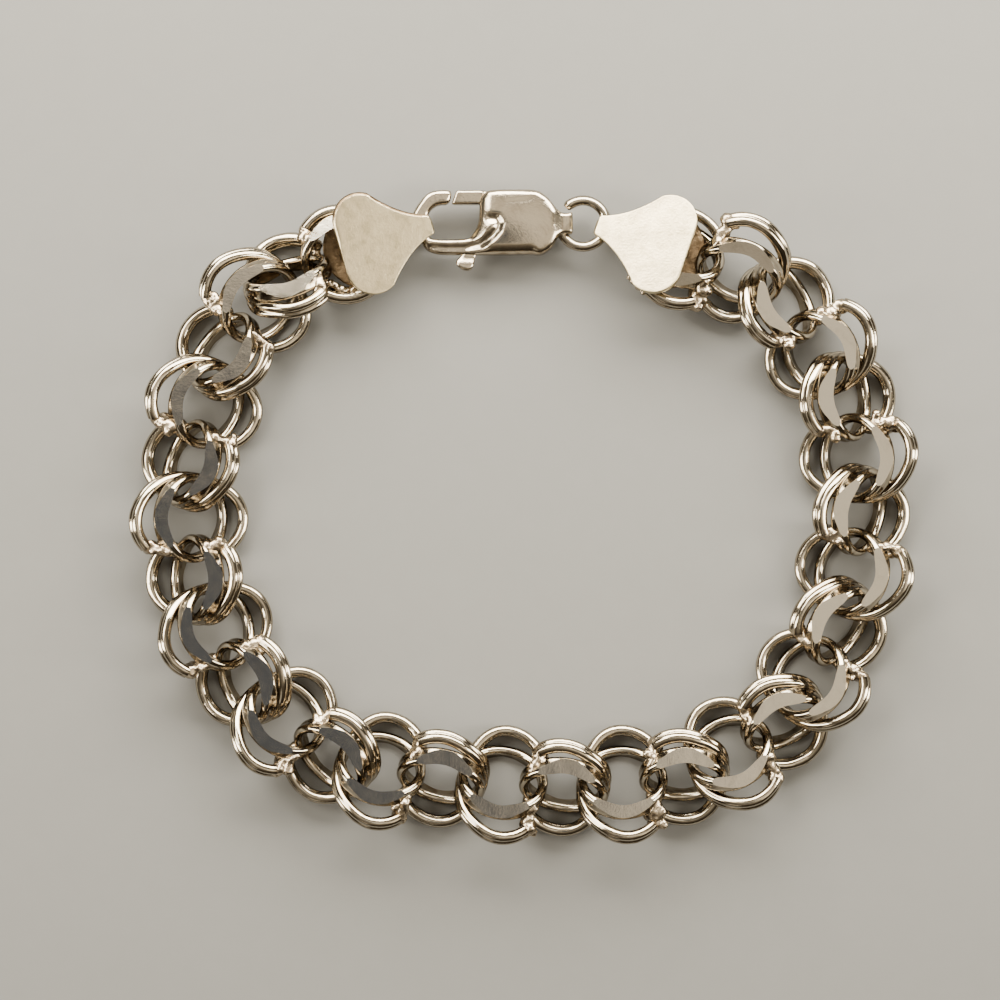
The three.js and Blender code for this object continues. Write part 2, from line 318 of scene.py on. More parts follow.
class Finish(Enum):
    """The finishes of the bracelet, in the order of the material slots of every piece."""

    POLISHED = SilverFinish("wire_silver")
    GROUND = SilverFinish(
        "ground_wire_silver", colour=(0.76, 0.715, 0.625), roughness=0.08, roughness_spread=0.08,
        cloud=0.12, grime_and_shade=0.0, pit_depth=0.003, scratch=0.0014, wave=0.014,
    )
    SOLDER = SilverFinish(
        "silver_solder", colour=(0.76, 0.65, 0.50), roughness=0.14, roughness_spread=0.22,
        cloud=0.6, pit_size=0.4, pit_depth=0.03,
    )
    SATIN = SilverFinish(
        "plate_silver", colour=(0.87, 0.765, 0.535), tarnish=(0.50, 0.43, 0.27), roughness=0.25,
        roughness_spread=0.12, cloud=0.3, mottle=0.45, pit_size=0.22, pit_depth=0.02, scratch=0.005,
    )
    CAST = SilverFinish(
        "clasp_silver", colour=(0.80, 0.72, 0.585), tarnish=(0.24, 0.185, 0.12), roughness=0.13,
        cloud=0.4, pit_size=0.3, pit_depth=0.012,
    )
    # Dark brown finish of the backing sheet, and the painted shade on an end plate's far side wall.
    DARK_BROWN = SilverFinish(
        "dark_brown_silver", colour=(0.34, 0.25, 0.155), tarnish=(0.10, 0.068, 0.04), roughness=0.3,
        roughness_spread=0.25, cloud=0.7, mottle=0.5, pit_size=0.3, pit_depth=0.05,
    )

    @property
    def slot(self) -> int:
        """Its place in the material slots."""
        return list(Finish).index(self)


# ---------------------------------------------------------------- meshes


def added(name: str, data: bpy.types.ID) -> bpy.types.Object:
    """Adds an object to the scene.

    Args:
        name: Its name.
        data: Its mesh, camera or light.

    Returns:
        The object.
    """
    made = bpy.data.objects.new(name, data)
    bpy.context.scene.collection.objects.link(made)
    return made


def laid_out(place: Place) -> Place:
    """A place of the layout in the part's frame."""
    return place[0] - LAYOUT_MIDDLE[0], place[1] - LAYOUT_MIDDLE[1]


class Form:
    """A mesh that is gathered in millimetres.

    Its vertices keep two values that the finishes read: the heat value says how strongly the torch
    marked them, and on an end plate's far side wall it holds painted shade; "seam" says how much
    tarnish and painted shade darken them, in seams and on the flanks that face sideways and down.
    """

    FLAT_SLACK = 1e-5  # a vertex this near to the grinding plane lies in it
    SHORTEST_RIM = 0.003  # shorter edges round a ground flat are closed up

    def __init__(self) -> None:
        """Starts empty."""
        self.bm = bmesh.new()
        self.find_layers()

    def find_layers(self) -> None:
        """Finds the layers of both values, or makes them."""
        layers = self.bm.verts.layers.float
        self.heat = layers.get("heat") or layers.new("heat")
        self.seam = layers.get("seam") or layers.new("seam")

    def sweep(
        self,
        centres: Sequence[Vector],
        across: Sequence[Vector],
        sizes: Sequence[Place],
        sections: Sequence[Sequence[Place]],
        closed: bool = False,
    ) -> None:
        """Adds a wire or a strip.

        Args:
            centres: Points of its centre line.
            across: A direction square to it at each point.
            sizes: Half its width along that direction, and half its thickness, at each point.
            sections: Its outline at each point, from -1 to 1 both ways.
            closed: Whether its last point joins its first.
        """
        count = len(centres)
        sides = len(sections[0])
        rings = []
        stations = zip(centres, across, sizes, sections)
        for i, (at, side, (wide, thick), section) in enumerate(stations):
            after = centres[(i + 1) % count] if closed else centres[min(i + 1, count - 1)]
            before = centres[i - 1] if closed else centres[max(i - 1, 0)]
            along = (after - before).normalized()
            outward = along.cross(side).normalized()
            inner = outward.cross(along)
            points = [at + wide * u * inner + thick * v * outward for u, v in section]
            ring = [self.bm.verts.new(point) for point in points]
            for vertex, (u, v) in zip(ring, section):
                # Painted shade, with tarnish, in the groove between the two wires.
                grime_and_shade_here = abs(v) < SHALLOWEST_SEAM
                vertex[self.seam] = max(0.0, 1 - abs(u) / SEAM_BAND) if grime_and_shade_here else 0.0
            rings.append(ring)
        for i in range(count if closed else count - 1):
            first, second = rings[i], rings[(i + 1) % count]
            for k in range(sides):
                j = (k + 1) % sides
                self.bm.faces.new((first[k], first[j], second[j], second[k]))
        if not closed:
            self.bm.faces.new(rings[0][::-1])
            self.bm.faces.new(rings[-1])

    def grind(self, height: float) -> None:
        """Grinds it flat above and below.

        Args:
            height: Of the upper flat, and of the lower one under the middle.
        """
        for side in (-1, 1):
            every = self.bm.verts[:] + self.bm.edges[:] + self.bm.faces[:]
            cut = bmesh.ops.bisect_plane(
                self.bm, geom=every, dist=self.FLAT_SLACK, plane_co=(0, 0, side * height),
                plane_no=(0, 0, side), clear_outer=True,
            )
            rim = [e for e in cut["geom_cut"] if isinstance(e, bmesh.types.BMEdge)]
            # A set would give these in another order each run, and merge them differently.
            ends = list(dict.fromkeys(v for e in rim for v in e.verts))
            bmesh.ops.remove_doubles(self.bm, verts=ends, dist=self.SHORTEST_RIM)
            rim = [e for e in self.bm.edges if e.is_boundary]
            filled = bmesh.ops.triangle_fill(
                self.bm, edges=rim, use_beauty=True, normal=(0, 0, side)
            )
            for face in filled["geom"]:
                if isinstance(face, bmesh.types.BMFace):
                    face.material_index = Finish.GROUND.slot

    def move(self, matrix: Matrix) -> None:
        """Moves all of it."""
        bmesh.ops.transform(self.bm, matrix=matrix, verts=self.bm.verts[:])

    def paint(self, finish: Finish) -> None:
        """Gives all of it one finish."""
        for face in self.bm.faces:
            face.material_index = finish.slot

    def take(self, other: "Form", matrix: Matrix | None = None) -> None:
        """Adds another form and uses it up.

        Args:
            other: The form that is added.
            matrix: Where it is put.
        """
        if matrix:
            other.move(matrix)
        held = bpy.data.meshes.new("held")
        other.bm.to_mesh(held)
        other.bm.free()
        self.bm.from_mesh(held)
        bpy.data.meshes.remove(held)
        self.find_layers()

    def warm(self, strength: Callable[[Vector], float]) -> None:
        """Sets how strongly each vertex was heated, from 0 to 1."""
        for vertex in self.bm.verts:
            vertex[self.heat] = strength(vertex.co)

    def piece(self, name: str, node: str, body: str, slot: str) -> bpy.types.Object:
        """Makes it a piece of the part.

        Args:
            name: The piece's name.
            node: The CAD node that it stands for.
            body: The body that it rides on.
            slot: Not used.

        Returns:
            The finished object.
        """
        bmesh.ops.recalc_face_normals(self.bm, faces=self.bm.faces[:])
        self.bm.normal_update()
        for vertex in self.bm.verts:
            # Painted shade, with tarnish, on flanks that face sideways and down.
            flank_shade = smooth_step(*FLANK_SHADE_TILT, vertex.normal.z)
            vertex[self.seam] = max(vertex[self.seam], flank_shade)
        bmesh.ops.scale(self.bm, vec=(MILLIMETRE,) * 3, verts=self.bm.verts[:])
        mesh = bpy.data.meshes.new(name)
        self.bm.to_mesh(mesh)
        self.bm.free()
        mesh.set_sharp_from_angle(angle=SHARP_ANGLE)
        for polygon in mesh.polygons:
            polygon.use_smooth = polygon.material_index != Finish.GROUND.slot
        for finish in Finish:
            mesh.materials.append(finish.value.material())
        made = added(name, mesh)
        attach(made, body)
        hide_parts(node)
        LOG.info("%s: %d faces, rides on %s", name, len(mesh.polygons), body)
        return made


def round_section(sides: int, squareness: float = 2.0) -> list[Place]:
    """The outline of a wire.

    Args:
        sides: Facets round it.
        squareness: 2 for a circle, more for a rounded rectangle.

    Returns:
        Points from -1 to 1 both ways.
    """
    angles = [2 * math.pi * k / sides for k in range(sides)]
    power = 2 / squareness
    parts = ((math.cos(a), math.sin(a)) for a in angles)
    return [tuple(math.copysign(abs(part) ** power, part) for part in pair) for pair in parts]


def double_section(groove: float) -> list[Place]:
    """The outline of two round wires side by side, soldered along the seam between them.

    Args:
        groove: Half the thickness at the seam, where 1 is half a wire.

    Returns:
        Points from -1 to 1 both ways.
    """
    seam = math.degrees(math.asin(groove))
    bend = [0.0, 24.0, 48.0, 70.0, 90.0, *(90.0 + (90.0 - seam) * k for k in (0.35, 0.7, 1.0))]
    turns = [math.radians(a) for a in bend]
    over = [(0.5 + 0.5 * math.cos(a), math.sin(a)) for a in turns]
    over = [(x, max(y, groove) if x < 0.5 else y) for x, y in over]
    half = [*over, (0.0, 0.92 * groove), *((-x, y) for x, y in reversed(over[1:]))]
    return [*half, *((-x, -y) for x, y in half)]


def ripple(seed: float, turn: float, waves: float) -> float:
    """A smooth random number from -1 to 1 round a wire, which comes back to itself."""
    angle = 2 * math.pi * turn
    return noise.noise(Vector((waves * math.cos(angle), waves * math.sin(angle), 3.7 * seed)))


def smooth_path(points: Sequence[Vector], pieces: int) -> list[Vector]:
    """A smooth line through points.

    Args:
        points: The points.
        pieces: Steps from one to the next.

    Returns:
        Points of the line.
    """
    padded = [2 * points[0] - points[1], *points, 2 * points[-1] - points[-2]]
    line = []
    for before, first, second, after in zip(padded, padded[1:], padded[2:], padded[3:]):
        for k in range(pieces):
            t = k / pieces
            line.append(
                first
                + 0.5 * t * (second - before)
                + t * t * (before - 2.5 * first + 2 * second - 0.5 * after)
                + t**3 * (1.5 * (first - second) + 0.5 * (after - before))
            )
    return [*line, points[-1].copy()]


def smooth_step(low: float, high: float, value: float) -> float:
    """Rises or falls smoothly from 0 where the value is low to 1 where it is high."""
    t = min(1.0, max(0.0, (value - low) / (high - low)))
    return t * t * (3 - 2 * t)


def line_distance(at: Vector, line: Sequence[Place]) -> float:
    """Distance from a point to a line of straight pieces.

    Args:
        at: The point.
        line: The line's corners.

    Returns:
        The distance.
    """
    nearest = math.inf
    for start, end in zip(map(Vector, line), map(Vector, line[1:])):
        foot, share = geometry.intersect_point_line(at, start, end)
        if not 0 <= share <= 1:
            foot = start if share < 0 else end
        nearest = min(nearest, (at - foot).length)
    return nearest


LUMP_SMOOTHING = 11  # rounds of smoothing that run the balls of a lump together
LUMP_NOISE = (1.3, 2.3, 0.7)  # closeness of its bumps; the finer ones are so much closer and lower


def lump(balls: Iterable[tuple[Vector, float]], voxel: float, relief: float, seed: float) -> Form:
    """A lump of solder: balls of metal that have run together.

    Args:
        balls: Middle and radius of each ball.
        voxel: Width of the facets.
        relief: Height of its bumps.
        seed: Number of the lump.

    Returns:
        The lump.
    """
    rough = bmesh.new()
    for middle, radius in balls:
        spot = Matrix.Translation(middle)
        bmesh.ops.create_icosphere(rough, subdivisions=2, radius=radius, matrix=spot)
    mesh = bpy.data.meshes.new("rough_lump")
    rough.to_mesh(mesh)
    rough.free()
    holder = added("rough_lump", mesh)
    remesh = holder.modifiers.new("remesh", "REMESH")
    remesh.mode = "VOXEL"
    remesh.voxel_size = voxel
    holder.modifiers.new("smooth", "SMOOTH").iterations = LUMP_SMOOTHING
    run = holder.evaluated_get(bpy.context.evaluated_depsgraph_get())
    made = Form()
    made.bm.from_mesh(run.to_mesh())
    made.find_layers()
    run.to_mesh_clear()
    bpy.data.objects.remove(holder)
    bpy.data.meshes.remove(mesh)
    made.bm.normal_update()
    shift = Vector((seed * 5.1, 0, 0))
    close, closer, lower = LUMP_NOISE
    for vertex in made.bm.verts:
        sample = vertex.co * close + shift
        bumps = noise.noise(sample) + lower * noise.noise(sample * closer)
        vertex.co += vertex.normal * relief * bumps
    made.paint(Finish.SOLDER)
    return made


def sampled(outline: Sequence[Place], step: float, corner: float) -> list[Place]:
    """An outline with rounded corners and points close together.

    Args:
        outline: Its corners.
        step: Distance between points.
        corner: How much of each side a rounded corner takes, up to a half.

    Returns:
        The points, counter-clockwise.
    """
    points = [Vector(p) for p in outline]
    for share in (corner, corner):
        cut = []
        for first, second in zip(points, points[1:] + points[:1]):
            cut += [first.lerp(second, share), first.lerp(second, 1 - share)]
        points = cut
    dense = []
    for first, second in zip(points, points[1:] + points[:1]):
        pieces = max(1, round((second - first).length / step))
        dense += [tuple(first.lerp(second, k / pieces)) for k in range(pieces)]
    pairs = zip(dense, dense[1:] + dense[:1])
    area = sum(x1 * y2 - x2 * y1 for (x1, y1), (x2, y2) in pairs)
    return dense if area > 0 else dense[::-1]


def edge_distance(points: np.ndarray, outline: np.ndarray) -> np.ndarray:
    """Distance from points to an outline.

    Args:
        points: The points, one a row.
        outline: The outline's points.

    Returns:
        A distance for each point.
    """
    along = np.roll(outline, -1, 0) - outline
    away = points[:, None, :] - outline[None]
    share = np.clip((away * along).sum(2) / (along**2).sum(1), 0, 1)
    return np.linalg.norm(away - share[..., None] * along, axis=2).min(1)


def is_inside(points: np.ndarray, outline: np.ndarray) -> np.ndarray:
    """Whether points lie inside an outline.

    Args:
        points: The points, one a row.
        outline: The outline's points.

    Returns:
        True or False for each point.
    """
    x, y = points[:, :1], points[:, 1:]
    (x1, y1), (x2, y2) = outline.T, np.roll(outline, -1, 0).T
    crosses = (y1 > y) != (y2 > y)
    with np.errstate(divide="ignore", invalid="ignore"):
        left = x < (x2 - x1) * (y - y1) / (y2 - y1) + x1
    return (crosses & left).sum(1) % 2 == 1


def rounding(distance: float, radius: float) -> float:
    """How far a rounded edge lies under the flat face, a distance from the edge."""
    inset = max(radius - distance, 0.0)
    return radius - math.sqrt(max(radius * radius - inset * inset, 0.0))


ROW_SLACK = 0.97  # a row's point nearer to the edge than this share of its inset is dropped
HEXAGON = 0.87  # distance of the grid's rows, so that its points make even triangles
GRID_GAP = 0.4  # of the grid's width, between the last row and the grid
ON_EDGE = 1e-4
SAME_PLACE = 1e-3
TOUCHING = 1e-6


def cushion(outline: Sequence[Place], insets: Sequence[float], grid: float, faces: Faces) -> Form:
    """A flat body with shaped faces.

    Args:
        outline: Its outline from above, as close points, counter-clockwise.
        insets: Distances from the edge of the rows of points that follow it.
        grid: Distance between the points of the middle.
        faces: Gives the lower and upper height from x, y and the distance to the edge.

    Returns:
        The closed body.
    """
    edge = np.array(outline)
    along = np.roll(edge, -1, 0) - np.roll(edge, 1, 0)
    inward = np.stack([-along[:, 1], along[:, 0]], 1) / np.linalg.norm(along, axis=1, keepdims=True)
    rows = [edge]
    for inset in insets:
        row = edge + inset * inward
        rows.append(row[(edge_distance(row, edge) > ROW_SLACK * inset) & is_inside(row, edge)])
    low, high = edge.min(0), edge.max(0)
    xs, ys = np.meshgrid(
        np.arange(low[0], high[0], grid), np.arange(low[1], high[1], grid * HEXAGON)
    )
    xs[1::2] += grid / 2
    middle = np.stack([xs.ravel(), ys.ravel()], 1)
    clear = edge_distance(middle, edge) > insets[-1] + GRID_GAP * grid
    points = np.concatenate([*rows, middle[is_inside(middle, edge) & clear]])
    loop = list(range(len(edge)))
    border = list(zip(loop, loop[1:] + loop[:1]))
    flat, _, triangles, *_ = geometry.delaunay_2d_cdt(
        [Vector(p) for p in points], border, [], 1, TOUCHING
    )
    away = edge_distance(np.array(flat), edge)
    made = Form()
    levels = [faces(p[0], p[1], d if d > ON_EDGE else 0.0) for p, d in zip(flat, away)]
    under = [made.bm.verts.new((*p, z[0])) for p, z in zip(flat, levels)]
    over = [made.bm.verts.new((*p, z[1])) for p, z in zip(flat, levels)]
    walls = {}
    for face in triangles:
        made.bm.faces.new([over[k] for k in face])
        made.bm.faces.new([under[k] for k in reversed(face)])
        for first, second in zip(face, face[1:] + face[:1]):
            if not walls.pop((second, first), False):
                walls[first, second] = True
    for first, second in walls:
        made.bm.faces.new((over[second], over[first], under[first], under[second]))
    bmesh.ops.remove_doubles(made.bm, verts=made.bm.verts[:], dist=SAME_PLACE)
    return made


def edge_rows(radius: float, rows: int) -> list[float]:
    """Distances from the edge of rows of points that follow its rounding."""
    return [radius * (1 - math.cos(math.pi / 2 * (k + 1) / rows)) for k in range(rows)]


# ---------------------------------------------------------------- links


@dataclass(frozen=True)
class Link:
    """One link of a soldered pair, across the chain with its raised side positive."""

    ring: float  # middle of its ring
    ring_reach: float  # from there to the ring's raised side
    ring_push: float  # how far its raised side is bent further out
    loop: float  # middle of its outer loop
    half_width: float  # half the loop's width


OUTER_LINK = Link(ring=0.0, ring_reach=2.58, ring_push=0.12, loop=0.25, half_width=4.95)
INNER_LINK = Link(ring=0.4, ring_reach=1.93, ring_push=0.28, loop=0.25, half_width=4.15)


@dataclass
class LinkPair:
    """Two double links that are soldered into one rigid piece.

    In its own frame +X runs along the chain, -Y is the outside of the bracelet and the link at -X
    leans with its outer side up.
    """

    name: str
    place: Place
    heading: float
    seed: int
    turn: float = 0.0
    links: tuple[Link, Link] = (OUTER_LINK, INNER_LINK)
    slot: str = "polished_silver"
    wire: float = 0.9
    ring_radius: float = 3.85
    ring_pitch: float = 5.85
    ring_rise: float = 2.62
    ring_lean: Place = (-12.0, 11.0)  # of the wires from the ring's tilt: mean, and more if raised
    ring_seam: float = 0.72  # half the thickness at the seam, of half a wire's
    worn_seam: float = 0.995  # the same where the seam is ground away
    ring_wear: Place = (0.45, 0.7)  # share of the ring's rise where the wear begins, and is full
    ring_wander: Place = (0.006, 1.2)  # how far the ring wanders from its oval, and how often
    ring_wire_wander: Place = (0.02, 2.0)  # the same for its wire's thickness
    ground_height: float = 2.65
    loop_reach: float = 3.9
    loop_waist_reach: float = 4.2
    loop_shift: float = 0.4
    loop_rise: float = 1.75
    loop_lean: Place = (16.0, 9.0)  # of the double wire from upright: mean, and more if raised
    loop_seam: float = 0.5
    loop_strip: Place = (0.98, 0.56)  # half its double wire's width and thickness, in wires
    loop_wander: Place = (0.06, 0.9)
    loop_wire_wander: Place = (0.04, 2.5)
    nest_out: float = 1.0  # how far the loop's end gives way to the next link, outwards
    nest_down: float = 0.5  # and downwards
    raised_end: float = 128.0
    lowered_end: float = 140.0
    ring_steps: int = 84
    loop_steps: int = 60
    solder_foot: float = 0.7  # share of a ring's rise and reach where the solder meets it
    solder_radii: Sequence[float] = (0.6, 0.52, 0.5, 0.45)
    solder_balls: int = 8
    solder_grain: Place = (0.12, 0.07)  # facets and bumps
    torch_spot: Point = (-0.2, 3.7, 0.2)
    torch_reach: float = 2.1
    dice: random.Random = field(init=False)

    def __post_init__(self) -> None:
        """Seeds the pair's small differences."""
        self.dice = random.Random(self.seed)

    def double_ring(self, link: Link, seed: float) -> Form:
        """Two round wires side by side, ground flat above and below.

        Args:
            link: Sizes of the link.
            seed: Number of the ring.

        Returns:
            The ring, round Z in the pair's frame.
        """
        tilt = math.atan2(self.ring_rise, link.ring_reach)
        middle = Vector((-self.ring_pitch / 2, -link.ring, 0))
        (wander, bends), (swell, swells) = self.ring_wander, self.ring_wire_wander
        centres, sides, sizes, sections = [], [], [], []
        for i in range(self.ring_steps):
            turn = i / self.ring_steps
            angle = 2 * math.pi * turn
            rise = math.sin(angle)
            lean = tilt + math.radians(self.ring_lean[0] + self.ring_lean[1] * rise)
            at = Vector((
                self.ring_radius * math.cos(angle),
                -link.ring_reach * rise - link.ring_push * max(rise, 0) ** 2,
                self.ring_rise * rise,
            ))
            centres.append(middle + (1 + wander * ripple(seed, turn, bends)) * at)
            sides.append(Vector((0, math.sin(lean), math.cos(lean))))
            size = self.wire * (1 + swell * ripple(seed + 9, turn, swells))
            sizes.append((size, 0.5 * size))
            worn = smooth_step(*self.ring_wear, abs(rise))
            seam = self.ring_seam + (self.worn_seam - self.ring_seam) * worn
            sections.append(double_section(seam))
        made = Form()
        made.sweep(centres, sides, sizes, sections, closed=True)
        made.grind(self.ground_height)
        return made

    @staticmethod
    def nesting(angle: float) -> float:
        """How far the loop gives way to the next link, from 0 to 1."""
        return max(math.cos(angle), 0) ** 4

    def loop_point(self, link: Link, angle: float) -> Vector:
        """A point of the outer loop's centre line.

        Args:
            link: Sizes of the link.
            angle: Its direction: 0 is away from the pair's middle and more is raised.

        Returns:
            The point in the pair's frame, for the link at -X.
        """
        nest, rise = self.nesting(angle), math.sin(angle)
        reach = self.loop_reach if math.cos(angle) > 0 else self.loop_waist_reach
        return Vector((
            self.loop_shift * max(rise, 0) - self.ring_pitch / 2 - reach * math.cos(angle),
            -link.loop - link.half_width * rise - self.nest_out * nest,
            self.loop_rise * rise - self.nest_down * nest,
        ))

    def outer_loop(self, link: Link, seed: float) -> Form:
        """Two round wires side by side, open at the waist where solder joins the other link.

        Args:
            link: Sizes of the link.
            seed: Number of the loop.

        Returns:
            The loop in the pair's frame.
        """
        tilt = math.atan2(self.ring_rise, link.ring_reach)
        (wander, bends), (swell, swells) = self.loop_wander, self.loop_wire_wander
        half_wide, half_thick = self.loop_strip
        centres, sides, sizes = [], [], []
        for i in range(self.loop_steps + 1):
            turn = i / self.loop_steps
            angle = math.radians((self.lowered_end + self.raised_end) * turn - self.lowered_end)
            nest = self.nesting(angle)
            mean, more = self.loop_lean
            lean = math.radians(mean + more * math.sin(angle)) * (1 - nest) + tilt * nest
            aside = Vector((0, 1, 1)) * wander * ripple(seed, turn, bends)
            centres.append(self.loop_point(link, angle) + aside)
            sides.append(Vector((0, math.sin(lean), math.cos(lean))))
            size = self.wire * (1 + swell * ripple(seed + 11, turn, swells))
            sizes.append((half_wide * size, half_thick * size))
        made = Form()
        made.sweep(centres, sides, sizes, [double_section(self.loop_seam)] * len(centres))
        return made

    def waist(self, upper: Link, lower: Link) -> list[Vector]:
        """Where solder joins the two links on the outer side of the chain.

        Args:
            upper: The link whose raised side is here, at -X.
            lower: The other link, at +X.

        Returns:
            The ends of the raised loop, the lowered loop and the two rings.
        """
        end = self.loop_point(lower, math.radians(-self.lowered_end))
        foot = self.solder_foot
        return [
            self.loop_point(upper, math.radians(self.raised_end)),
            Vector((-end.x, -end.y, end.z)),
            Vector((0.2, -upper.ring - foot * upper.ring_reach, foot * self.ring_rise)),
            Vector((0.0, lower.ring - foot * lower.ring_reach, -foot * self.ring_rise)),
        ]

    def solder(self, upper: Link, lower: Link, seed: float) -> Form:
        """The solder on the outer side of the chain.

        Args:
            upper: The link whose raised side is here, at -X.
            lower: The other link, at +X.
            seed: Number of the lump.

        Returns:
            The lump in the pair's frame.
        """
        raised, lowered, ring_over, ring_under = self.waist(upper, lower)
        runs = (raised, lowered), (raised, ring_over), (lowered, ring_under), (lowered, ring_over)
        draw = self.dice.uniform
        balls = []
        for (start, end), thick in zip(runs, self.solder_radii):
            for k in range(self.solder_balls):
                jitter = Vector((draw(-0.22, 0.22), draw(-0.16, 0.16), draw(-0.1, 0.1)))
                spot = start.lerp(end, k / (self.solder_balls - 1)) + jitter
                balls.append((spot, thick * draw(0.82, 1.18)))
        side = self.dice.choice((-1, 1))
        for _ in range(self.dice.randint(2, 4)):
            spot = raised.lerp(ring_over, draw(-0.1, 0.9))
            jitter = Vector((side * draw(0.0, 0.9), draw(-0.3, 0.3), draw(0.0, 0.3)))
            balls.append((spot + jitter, draw(0.35, 0.6)))
        return lump(balls, *self.solder_grain, seed)

    def both_links(self) -> Form:
        """The whole pair in its own frame.

        Returns:
            The pair round the middle of the chain's height.
        """
        whole = Form()
        half_round = Matrix.Rotation(math.pi, 4, "Z")
        for k, link in enumerate(self.links):
            for part in (
                self.double_ring(link, self.seed + 0.3 * k),
                self.outer_loop(link, self.seed + 0.6 * k + 40),
                self.solder(link, self.links[1 - k], self.seed + 0.4 * k + 80),
            ):
                whole.take(part, half_round if k else None)
        whole.warm(self.heated)
        return whole

    def heated(self, at: Vector) -> float:
        """How strongly the torch marked the metal.

        Args:
            at: A point in the pair's frame.

        Returns:
            A value from 0 to 1.
        """
        x, y, z = self.torch_spot
        spot = Vector((x, y, z) if at.y > 0 else (-x, -y, z))
        near = math.exp(-(((at - spot).length / self.torch_reach) ** 2))
        patch = 0.5 + noise.noise(at * 0.7 + Vector((self.seed * 3.3, 0, 0)))
        return max(0.0, min(1.0, near * (0.35 + 1.3 * patch)))

    def placed(self, form: Form) -> Form:
        """Lays the pair on the table.

        Args:
            form: The pair in its own frame.

        Returns:
            The same form in the part's frame.
        """
        heading = Matrix.Rotation(math.radians(self.heading), 4, "Z")
        form.move(heading @ Matrix.Rotation(math.radians(self.turn), 4, "X"))
        lowest = min(v.co.z for v in form.bm.verts)
        bmesh.ops.translate(form.bm, vec=(*laid_out(self.place), -lowest), verts=form.bm.verts[:])
        return form

    def shaped(self) -> Form:
        """The pair in the part's frame, with all that it carries."""
        return self.placed(self.both_links())

    def build(self) -> bpy.types.Object:
        """Builds the pair and returns the finished piece."""
        return self.shaped().piece(self.name + "_silver", self.name, "bracelet", self.slot)


